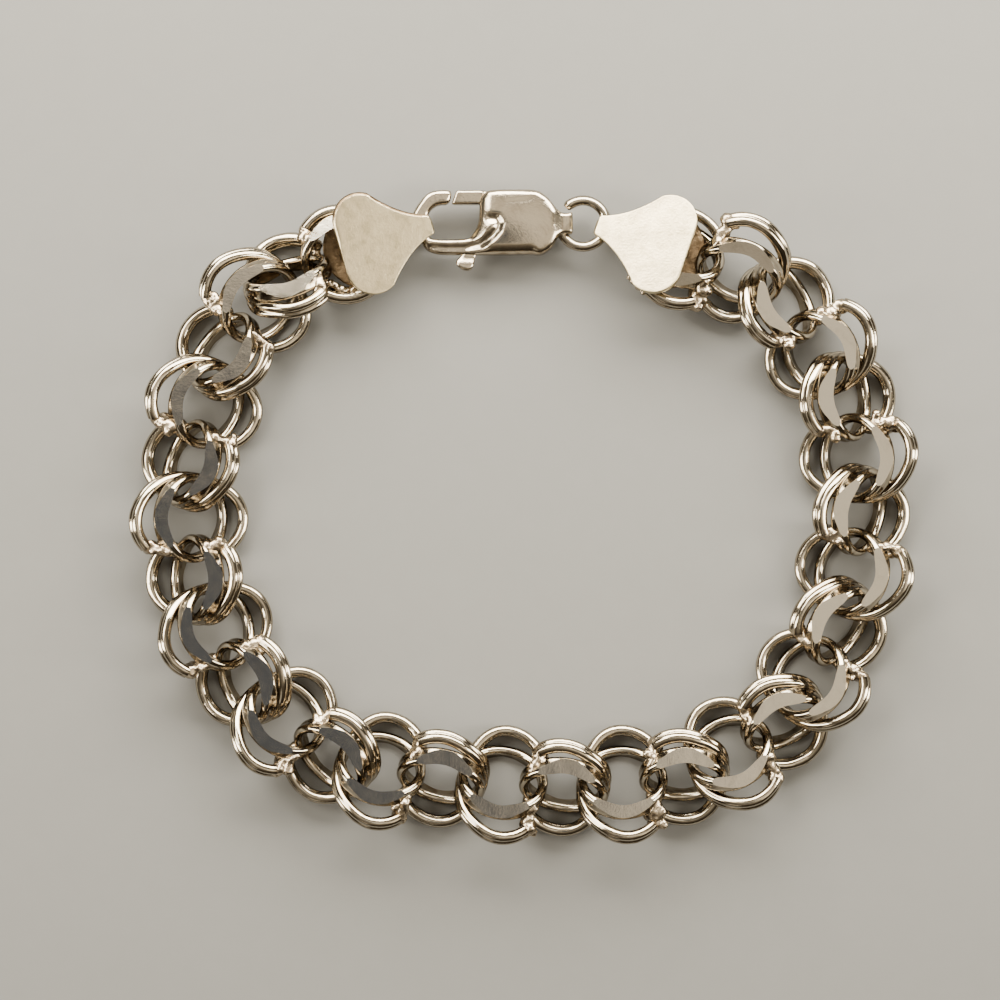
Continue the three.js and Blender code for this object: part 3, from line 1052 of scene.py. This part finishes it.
@dataclass
class EndPair(LinkPair):
    """A pair with a bell-shaped plate, whose neck is folded down and back underneath."""

    slot: str = "satin_silver"
    neck: Place = (0.0, 0.0)  # under the end of the neck
    neck_heading: float = 0.0
    plate_length: float = 9.1
    plate_corner: float = 2.6
    plate_shoulder: float = 2.3
    shoulder_start: float = 57.0
    plate_flare: Place = (-2.65, 1.58)
    plate_thickness: float = 0.6
    plate_pitch: float = 12.0
    plate_roll: float = 9.0
    plate_steps: int = 24  # along the flare, and round a shoulder
    plate_rows: Sequence[float] = (0.16, 0.24, 0.35)  # of points inside the plate's edge
    plate_wave: float = 0.035
    neck_half_width: float = 0.93
    fold_half_width: float = 0.62
    fold_half_thickness: float = 0.23
    neck_height: float = 3.75
    edge: float = 0.1
    painted_wall_shade: float = 0.0  # painted shade on the plate's farther side wall
    shaded_wall_edge: float = 0.25  # how much rounder that wall's edge is
    backing_start: float = -6.2
    backing_end: float = -10.6
    backing_half_width: float = 3.5
    backing_height: float = 1.9
    backing_thickness: float = 0.4
    backing_edge: float = 0.15
    backing_wave: float = 0.12
    clearance: float = 0.05  # of the links under the plate
    clear_half_width: float = 4.6
    tacks: Sequence[tuple[Point, Point, float]] = ()  # runs of solder: start, end and thickness
    tack_heat: float = 0.7
    fold: Sequence[Place] = (
        (-2.4, 4.32), (-1.2, 4.12), (-0.5, 3.93), (-0.14, 3.7), (-0.02, 3.3), (-0.02, 2.5),
        (-0.02, 1.7), (-0.14, 1.26), (-0.5, 1.08), (-1.3, 1.07), (-2.2, 1.09), (-3.4, 1.85),
        (-4.8, 2.75),
    )

    @property
    def plate_place(self) -> Matrix:
        """Where the plate lies and how it leans.

        Returns:
            Its place from the point under the end of the neck.
        """
        pitch = Matrix.Rotation(math.radians(self.plate_pitch), 4, "Y")
        roll = Matrix.Rotation(math.radians(self.plate_roll), 4, "X")
        return Matrix.Translation((0, 0, self.neck_height)) @ (pitch @ roll)

    def plate_outline(self) -> list[Place]:
        """The bell's outline.

        Returns:
            Its points, from one side of the neck round to the other.
        """
        start, steps = math.radians(self.shoulder_start), self.plate_steps
        turns = [start + (math.pi - start) * k / steps for k in range(steps + 1)]
        shoulder = [
            (
                self.plate_corner - self.plate_length + self.plate_corner * math.cos(a),
                self.plate_shoulder + self.plate_corner * math.sin(a),
            )
            for a in turns
        ]
        neck, flare, end = map(Vector, ((0, self.neck_half_width), self.plate_flare, shoulder[0]))
        half = []
        for k in range(steps):
            t = k / steps
            half.append(tuple((1 - t) ** 2 * neck + 2 * t * (1 - t) * flare + t * t * end))
        half += shoulder
        return [*half, *((x, -y) for x, y in reversed(half))]

    def plate_faces(self, x: float, y: float, away: float) -> Place:
        """Heights of the plate's faces.

        Args:
            x: Place from the end of the neck.
            y: Place across.
            away: Distance to the edge.

        Returns:
            The lower and upper height.
        """
        wave = self.plate_wave * noise.noise(Vector((x * 0.35, y * 0.35, float(self.seed))))
        wider = self.shaded_wall_edge * self.painted_wall_shade * smooth_step(0.2, 1.2, y)
        upper = self.plate_thickness - rounding(away, self.edge + wider)
        return rounding(away, self.edge) + wave, upper + wave

    def plate(self) -> Form:
        """The bell-shaped plate.

        Returns:
            The plate, with the end of its neck over the origin.
        """
        rows = [*edge_rows(self.edge, 3), *self.plate_rows]
        made = cushion(sampled(self.plate_outline(), 0.16, 0.1), rows, 0.32, self.plate_faces)
        made.bm.normal_update()
        for vertex in made.bm.verts:
            # Painted shade: the side wall facing +Y is marked as heated and turns dark.
            vertex[made.heat] = self.painted_wall_shade if vertex.normal.y > 0.2 else 0.0
        made.move(self.plate_place)
        return made

    def backing_faces(self, x: float, y: float, away: float) -> Place:
        """Heights of the backing's faces.

        Args:
            x: Place from the end of the neck.
            y: Place across.
            away: Distance to the edge.

        Returns:
            The lower and upper height.
        """
        wave = self.backing_wave * noise.noise(Vector((x * 0.8, y * 0.8, float(self.seed))))
        low, drop = self.backing_height, rounding(away, self.backing_edge)
        return low + drop + wave, low + self.backing_thickness - drop + wave

    def backing(self) -> Form:
        """A dark brown sheet on the end ring, well below the plate.

        Returns:
            The sheet, in the plate's frame.
        """
        start, end, half = self.backing_start, self.backing_end, self.backing_half_width
        side = [(start, half), (end + 1.6, half), (end, 0.35 * half)]
        corners = [*side, *((x, -y) for x, y in reversed(side))]
        rows = edge_rows(self.backing_edge, 3)
        return cushion(sampled(corners, 0.2, 0.25), rows, 0.35, self.backing_faces)

    def flatten_under(self, form: Form, spot: Matrix) -> None:
        """Presses down what would come through the plate.

        Args:
            form: The links, in the part's frame.
            spot: Where the plate's frame stands.
        """
        local = (spot @ self.plate_place).inverted()
        back = local.inverted()
        far, wide, under = -self.plate_length, self.clear_half_width, -self.clearance
        for vertex in form.bm.verts:
            at = local @ vertex.co
            if far < at.x < -0.5 and abs(at.y) < wide and at.z > under:
                inner = smooth_step(far, far + 0.6, at.x) * smooth_step(wide, wide - 0.6, abs(at.y))
                at.z += (under - at.z) * inner
                vertex.co = back @ at

    def tack(self, start: Vector, end: Vector, thick: float, number: int) -> Form:
        """A run of solder on the links, beside the plate and clear of it.

        Args:
            start: Its first point, in the part's frame.
            end: Its last point.
            thick: Half its thickness.
            number: Its number on this pair.

        Returns:
            The run, in the part's frame.
        """
        draw = self.dice.uniform
        balls = []
        for k in range(10):
            jitter = Vector((draw(-0.2, 0.2), draw(-0.2, 0.2), 0))
            balls.append((start.lerp(end, k / 9) + jitter, thick * draw(0.7, 1.2)))
        made = lump(balls, 0.1, 0.12, self.seed + number)
        made.warm(lambda at: self.tack_heat)
        return made

    def folded_neck(self) -> Form:
        """The neck, folded round the clasp's hook or the jump ring and soldered to the end ring.

        Returns:
            The strip, with its fold over the origin.
        """
        path = smooth_path([Vector((x, 0, z)) for x, z in self.fold], 5)
        count = len(path)
        spare = self.neck_half_width - self.fold_half_width
        sizes = []
        for k in range(count):
            full = 1 - min(1.0, k / count * 4.5)
            sizes.append((self.fold_half_width + spare * full, self.fold_half_thickness))
        made = Form()
        made.sweep(path, [Vector((0, 1, 0))] * count, sizes, [round_section(20, 5.0)] * count)
        return made

    def shaped(self) -> Form:
        """The pair in the part's frame, with its plate, fold, backing and tacks.

        Returns:
            The whole form.
        """
        whole = super().shaped()
        heading = Matrix.Rotation(math.radians(self.neck_heading), 4, "Z")
        spot = Matrix.Translation((*laid_out(self.neck), 0)) @ heading
        self.flatten_under(whole, spot)
        for part, finish in (
            (self.plate(), Finish.SATIN),
            (self.folded_neck(), Finish.SATIN),
            (self.backing(), Finish.DARK_BROWN),
        ):
            part.paint(finish)
            # Faces marked as heated take the dark brown finish; on the plate these are its far side
            # wall, as painted shade.
            for face in part.bm.faces:
                if all(vertex[part.heat] > 0.5 for vertex in face.verts):
                    face.material_index = Finish.DARK_BROWN.slot
            whole.take(part, spot)
        for number, (start, end, thick) in enumerate(self.tacks):
            whole.take(self.tack(Vector(start), Vector(end), thick, number))
        return whole


# ---------------------------------------------------------------- clasp


@dataclass
class Clasp:
    """A lobster clasp: a body with a hook and an eye, and a lever whose gate closes the hook.

    In its own frame the lever's pivot is the origin and +X runs to the eye. The body has no slot
    for the lever, whose plate runs through its metal.
    """

    place: Place = (-3.04, 27.98)
    height: float = 2.5
    hook_half: float = 0.85
    body_half: float = 1.34
    eye_half: float = 1.1
    dome: Point = (5.0, 3.6, 0.34)  # half its length and width, and its rise
    dome_middle: Place = (2.9, 0.1)
    hook_edge: float = 0.42
    body_edge: float = 0.5
    eye_edge: float = 0.35
    bevel: float = 1.05
    edge_drop: float = 0.86  # how deep the body's rounded edges go, of their radius
    fold_line: Sequence[Place] = (
        (0.05, 0.25), (0.6, 0.22), (0.85, -0.2), (0.72, -0.75), (0.27, -1.3), (-0.35, -1.85),
        (-0.95, -2.2), (-2.4, -2.5), (-4.1, -2.5), (-5.5, -2.4),
    )
    fold_width: float = 0.36
    fold_depth: float = 0.3
    dents: Sequence[tuple[Sequence[Place], float, float]] = (  # line, width and depth
        (((1.6, 1.8), (3.0, 1.9), (4.2, 2.2)), 0.22, 0.03),
        (((0.8, 2.55), (2.4, 2.5)), 0.16, 0.02),
        (((5.2, 1.9), (6.0, 1.1)), 0.2, 0.04),
    )
    lever_half: float = 0.4
    lever_edge: float = 0.25
    trigger_swell: float = 0.2
    gate_half: float = 0.75
    gate_edge: float = 0.22
    lever_drop: float = 0.8  # how deep the lever's rounded edges go, of their radius
    body_outline: Sequence[Place] = (
        (-3.86, 1.65), (-3.55, 3.0), (-4.9, 3.0), (-5.6, 2.85), (-6.27, 2.4), (-6.9, 1.55),
        (-7.33, 0.81), (-7.4, 0.0), (-7.25, -0.6), (-6.49, -2.05), (-6.06, -2.69), (-5.4, -3.0),
        (-4.6, -3.15), (1.5, -3.15), (4.0, -3.1), (4.6, -3.2), (5.3, -2.95), (5.95, -2.4),
        (6.3, -1.75), (6.6, -1.3), (7.0, -1.15), (7.75, -1.15), (7.85, -1.0), (7.85, 0.75),
        (7.75, 0.87), (7.2, 0.76), (6.7, 0.86), (6.25, 1.25), (5.85, 1.8), (5.3, 2.4), (4.7, 2.85),
        (3.9, 3.0), (0.0, 3.0), (-0.67, 2.6), (-1.0, 2.1), (-1.05, -0.2), (-1.7, -1.3),
        (-2.1, -1.63), (-5.2, -1.7), (-5.9, -1.4), (-6.1, -0.7), (-6.0, 0.35), (-5.7, 1.1),
        (-4.95, 1.6),
    )
    trigger_outline: Sequence[Place] = (
        (-2.2, -2.4), (-2.7, -3.2), (-3.25, -3.7), (-3.2, -4.1), (-2.6, -4.6), (-1.9, -4.65),
        (-1.55, -4.2), (-1.4, -3.2), (-0.6, -2.2), (0.6, -1.3), (1.3, -0.5), (1.35, 0.6),
        (0.9, 2.1), (-0.2, 2.95), (-1.0, 2.95), (-1.0, 1.65), (-0.95, 0.6), (-1.1, -0.6),
        (-1.2, -1.6),
    )
    gate_outline: Sequence[Place] = (
        (-3.64, 1.65), (-0.9, 1.65), (-0.6, 2.4), (-0.6, 2.95), (-3.2, 2.95),
    )

    def body_faces(self, x: float, y: float, away: float) -> Place:
        """Heights of the body's faces.

        Args:
            x: Place from the pivot to the eye.
            y: Place across.
            away: Distance to the edge.

        Returns:
            The lower and upper height.
        """
        body = smooth_step(-1.9 - 0.5 * smooth_step(-1.0, -2.6, y), 0.2, x)
        eye = smooth_step(5.9, 7.0, x)
        half = self.hook_half + (self.body_half - self.hook_half) * body
        half += (self.eye_half - half) * eye
        under = smooth_step(-0.9, -2.4, y) * smooth_step(5.0, 3.8, x)
        edge = self.hook_edge + (self.body_edge - self.hook_edge) * max(body, 0.6 * under)
        edge += (self.bevel - edge) * under * (0.5 + 0.5 * body)
        edge += (self.eye_edge - edge) * eye
        (mx, my), (ax, ay, rise) = self.dome_middle, self.dome
        bulge = max(0.0, 1 - ((x - mx) / ax) ** 2 - ((y - my) / ay) ** 2)
        half += rise * bulge * (1 - eye)
        half -= self.edge_drop * rounding(away, edge)
        at = Vector((x, y))
        hollow = 0.0
        for line, width, deep in ((self.fold_line, self.fold_width, self.fold_depth), *self.dents):
            hollow += deep * math.exp(-((line_distance(at, line) / width) ** 2))
        return -half, half - hollow

    def trigger_faces(self, x: float, y: float, away: float) -> Place:
        """Heights of the faces of the lever's plate and trigger.

        Args:
            x: Place from the pivot to the eye.
            y: Place across.
            away: Distance to the edge.

        Returns:
            The lower and upper height.
        """
        swell = self.trigger_swell * smooth_step(-3.2, -4.2, y)
        half = self.lever_half + swell - self.lever_drop * rounding(away, self.lever_edge)
        return -half, half

    def gate_faces(self, x: float, y: float, away: float) -> Place:
        """Heights of the gate's faces, a distance from the edge."""
        half = self.gate_half - self.lever_drop * rounding(away, self.gate_edge)
        return -half, half

    def build_body(self) -> None:
        """Builds the body with its hook and eye."""
        outline = sampled(self.body_outline, 0.14, 0.22)
        made = cushion(outline, edge_rows(self.bevel, 9), 0.17, self.body_faces)
        self.finish(made, "clasp_body", "bracelet")

    def build_lever(self) -> None:
        """Builds the lever with its gate and trigger."""
        outline = sampled(self.trigger_outline, 0.14, 0.25)
        made = cushion(outline, edge_rows(self.lever_edge, 4), 0.25, self.trigger_faces)
        outline = sampled(self.gate_outline, 0.12, 0.08)
        made.take(cushion(outline, edge_rows(self.gate_edge, 4), 0.2, self.gate_faces))
        self.finish(made, "clasp_lever", "lever")

    def finish(self, form: Form, node: str, body: str) -> None:
        """Puts a part of the clasp in its place.

        Args:
            form: The part in the clasp's frame.
            node: The CAD node that it stands for.
            body: The body that it rides on.
        """
        form.paint(Finish.CAST)
        spot = (*laid_out(self.place), self.height)
        bmesh.ops.translate(form.bm, vec=spot, verts=form.bm.verts[:])
        form.piece(node + "_silver", node, body, "polished_silver")

    def build(self) -> None:
        """Builds the clasp."""
        self.build_body()
        self.build_lever()


@dataclass
class JumpRing:
    """The open ring that holds the clasp's eye and the folded neck of the end plate."""

    place: Place = (5.8, 27.84)
    height: float = 2.5
    radius: float = 2.2
    wire: float = 0.96
    ends: Place = (160.0, 497.0)
    taper: float = 0.35  # how much thinner the cut ends are
    steps: int = 72
    sides: int = 16

    def build(self) -> None:
        """Builds the ring, with its cut beside the clasp's eye."""
        start, end = (math.radians(a) for a in self.ends)
        middle = Vector((*laid_out(self.place), self.height))
        centres, sizes = [], []
        for k in range(self.steps + 1):
            angle = start + (end - start) * k / self.steps
            out = Vector((math.cos(angle), math.sin(angle), 0))
            centres.append(middle + self.radius * out)
            near_end = min(k, self.steps - k)
            radius = self.wire / 2 * (1 - self.taper * max(0.0, 1 - near_end / 2) ** 2)
            sizes.append((radius, radius))
        made = Form()
        count = len(centres)
        sections = [round_section(self.sides)] * count
        made.sweep(centres, [Vector((0, 0, 1))] * count, sizes, sections)
        made.piece("jump_ring_silver", "jump_ring", "bracelet", "polished_silver")


# ---------------------------------------------------------------- studio


@dataclass(frozen=True)
class Patch:
    """A soft round patch of the room, light or dark."""

    bearing: float  # degrees from +X, counter-clockwise
    lean: float  # degrees from straight up
    inner: float  # full as far as this from its middle, in degrees
    outer: float  # and gone at this
    light: Colour

    @property
    def axis(self) -> Point:
        """The direction of its middle.

        Returns:
            A vector of length 1.
        """
        bearing, lean = math.radians(self.bearing), math.radians(self.lean)
        flat = math.sin(lean)
        return (flat * math.cos(bearing), flat * math.sin(bearing), math.cos(lean))


@dataclass(frozen=True)
class SoftBox:
    """A rectangular lamp. Lengths are in metres."""

    name: str
    at: Point
    size: Place
    power: float  # in watts
    colour: Colour
    target: Point = (0.0, 0.0, 0.0)

    def build(self) -> None:
        """Adds the lamp, which faces its target."""
        data = bpy.data.lights.new(self.name, "AREA")
        data.shape = "RECTANGLE"
        data.size, data.size_y = self.size
        data.energy = self.power
        data.color = self.colour
        made = added(self.name, data)
        made.location = self.at
        facing = Vector(self.target) - Vector(self.at)
        made.rotation_euler = facing.to_track_quat("-Z", "Y").to_euler()


@dataclass(frozen=True)
class Studio:
    """Camera, table and light."""

    eye: Point = (-2.2325, 1.6019, 302.65)  # millimetres
    view_width: float = 95.0  # at the middle of the chain's height
    chain_height: float = 2.65
    sensor: float = 36.0
    clip: Place = (0.01, 10.0)  # metres
    table_half: float = 1.5  # metres
    table_colours: tuple[Colour, Colour] = ((0.232, 0.238, 0.241), (0.246, 0.252, 0.255))
    room: Sequence[tuple[float, Colour]] = (  # light by the upward part of the direction
        (0.0, (0.030, 0.022, 0.014)),
        (0.30, (0.034, 0.025, 0.016)),
        (0.55, (0.05, 0.038, 0.025)),
        (0.80, (0.115, 0.093, 0.067)),
        (0.93, (0.28, 0.232, 0.168)),
        (0.975, (0.78, 0.67, 0.51)),
        (1.0, (1.04, 0.90, 0.70)),
    )
    patches: Sequence[Patch] = (
        Patch(338.0, 30.0, 7.0, 16.0, (1.4, 1.18, 0.86)),
        Patch(240.0, 60.0, 3.0, 15.0, (0.55, 0.48, 0.38)),
        Patch(215.0, 9.0, 8.0, 10.8, (0.085, 0.09, 0.10)),
    )
    lamps: Sequence[SoftBox] = (
        SoftBox("window", (-0.236, 0.198, 0.394), (0.20, 0.16), 1.15, (1.0, 0.90, 0.72)),
        SoftBox("wall", (0.02, 0.17, 0.12), (0.34, 0.12), 2.3, (1.0, 0.91, 0.75), (0, 0.02, 0)),
        SoftBox("left_lamp", (-0.22, -0.03, 0.12), (0.06, 0.2), 0.55, (1.0, 0.90, 0.73)),
        SoftBox("right_lamp", (0.22, -0.02, 0.12), (0.06, 0.2), 0.55, (1.0, 0.90, 0.72)),
    )

    def camera(self) -> None:
        """Looks straight down at the table, with +Y up in the picture."""
        data = bpy.data.cameras.new("overhead")
        data.sensor_width = self.sensor
        data.lens = self.sensor * (self.eye[2] - self.chain_height) / self.view_width
        data.clip_start, data.clip_end = self.clip
        made = added("overhead", data)
        made.location = Vector(self.eye) * MILLIMETRE
        bpy.context.scene.camera = made

    def table(self) -> None:
        """A plain pale table top."""
        bm = bmesh.new()
        bmesh.ops.create_grid(bm, x_segments=1, y_segments=1, size=self.table_half)
        mesh = bpy.data.meshes.new("table_top")
        bm.to_mesh(mesh)
        bm.free()
        made_of = bpy.data.materials.new("pale_table")
        made_of.use_nodes = True
        graph = Graph(made_of.node_tree)
        colour = graph.blend(graph.grain(2.5, 4.0), *self.table_colours)
        graph.principled({"Base Color": colour, "Roughness": 0.7, "Specular IOR Level": 0.2})
        mesh.materials.append(made_of)
        added("table_top", mesh)

    def surroundings(self) -> None:
        """The room: a base that darkens low down, and soft patches of light and shade."""
        world = bpy.data.worlds.new("room")
        bpy.context.scene.world = world
        world.use_nodes = True
        graph = Graph(world.node_tree)
        direction = graph.node("ShaderNodeTexCoord", output="Generated")
        up = graph.vector("DOT_PRODUCT", direction, (0.0, 0.0, 1.0), output="Value")
        seen = graph.node("ShaderNodeValToRGB", {"stops": self.room}, {"Fac": up})
        for patch in self.patches:
            toward = graph.vector("DOT_PRODUCT", direction, patch.axis, output="Value")
            outer, inner = (math.cos(math.radians(a)) for a in (patch.outer, patch.inner))
            seen = graph.blend(toward.step(outer, inner), seen, patch.light)
        background = graph.node("ShaderNodeBackground", None, {"Color": seen, "Strength": 1.0})
        graph.node("ShaderNodeOutputWorld", None, {"Surface": background})

    def build(self) -> None:
        """Sets up the whole studio."""
        self.camera()
        self.table()
        for lamp in self.lamps:
            lamp.build()
        self.surroundings()


# ---------------------------------------------------------------- the bracelet


@dataclass
class Bracelet:
    """The whole part."""

    chain: Sequence[tuple[Place, float]] = (  # place and heading of each pair
        ((-26.81, 18.13), -130.0),
        ((-30.87, 7.93), -110.2),
        ((-31.39, -3.04), -91.1),
        ((-27.79, -13.17), -67.3),
        ((-20.40, -21.08), -44.3),
        ((-10.57, -24.51), -14.0),
        ((1.04, -25.61), -9.4),
        ((12.46, -25.09), 0.6),
        ((22.36, -21.03), 25.7),
        ((28.87, -12.94), 56.5),
        ((31.89, -2.45), 76.2),
        ((31.44, 8.48), 94.7),
        ((26.77, 18.07), 119.9),
    )

    @staticmethod
    def hook_end() -> EndPair:
        """The end pair whose neck is folded round the clasp's hook.

        Returns:
            The pair, not built yet.
        """
        return EndPair(
            "end_pair_hook_side", (-19.53, 23.87), -164.0, seed=21, turn=15.0,
            links=(replace(OUTER_LINK, half_width=3.9), INNER_LINK),
            # Its plate's far side wall gets painted shade.
            neck=(-8.68, 27.72), neck_heading=18.0, painted_wall_shade=1.0,
            tacks=(((-18.5, 22.1, 3.0), (-15.6, 21.2, 3.2), 0.42),),
        )

    @staticmethod
    def ring_end() -> EndPair:
        """The end pair whose neck is folded round the jump ring.

        Returns:
            The pair, not built yet.
        """
        return EndPair(
            "end_pair_ring_side", (17.88, 24.28), 157.0, seed=22, turn=-12.0,
            links=(OUTER_LINK, replace(INNER_LINK, loop=0.9)),
            neck=(7.15, 27.5), neck_heading=162.5,
            tacks=(
                ((10.1, 22.7, 4.0), (11.5, 21.0, 3.9), 0.34),
                ((16.0, 20.2, 3.4), (16.6, 19.9, 3.8), 0.6),
            ),
        )

    def build(self) -> None:
        """Builds every piece in order round the chain."""
        for number, (place, heading) in enumerate(self.chain, 1):
            LinkPair(f"link_pair_{number:02d}", place, heading, seed=number).build()
        self.hook_end().build()
        self.ring_end().build()
        Clasp().build()
        JumpRing().build()


def main() -> None:
    """Builds the studio and the bracelet."""
    logging.basicConfig(level=logging.INFO, format="%(name)s: %(message)s")
    Studio().build()
    Bracelet().build()


if __name__ == "__main__":
    main()
